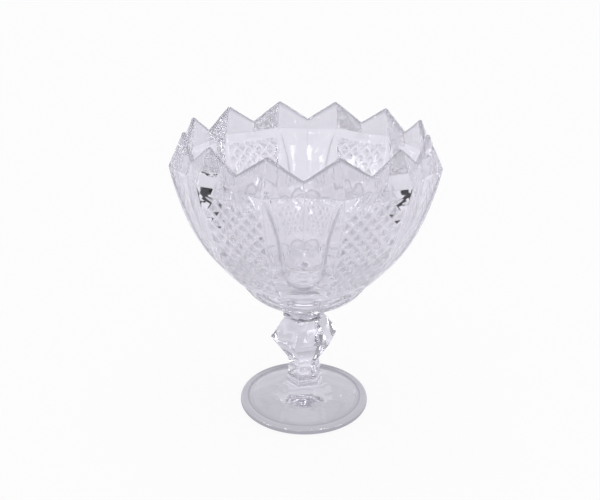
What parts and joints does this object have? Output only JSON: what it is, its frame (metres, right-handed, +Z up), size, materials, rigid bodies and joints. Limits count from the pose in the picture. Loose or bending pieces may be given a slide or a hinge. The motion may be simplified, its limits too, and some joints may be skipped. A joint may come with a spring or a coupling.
{
  "type": "footed fruit bowl",
  "caption": "Clear pressed glass fruit bowl with a toothed rim, fluted and hobnailed panels, a knopped hexagonal stem and a round foot.",
  "frame": {"origin": "middle of the foot, in the plane that it rests on", "axes": "+Z up along the axis of the bowl, -Y to the front, where a flute faces the viewer, +X to the viewer's right"},
  "size_m": [0.1932, 0.1932, 0.2295],
  "materials": {
    "bowl_glass": "clear pressed glass with a faint lilac-grey cast",
    "stem_glass": "clear pressed glass with a faint lilac-grey cast"
  },
  "bodies": {
    "root": {"bowl": "bowl_glass", "collar": "stem_glass", "stem": "stem_glass", "foot": "stem_glass"}
  },
  "joints": []
}
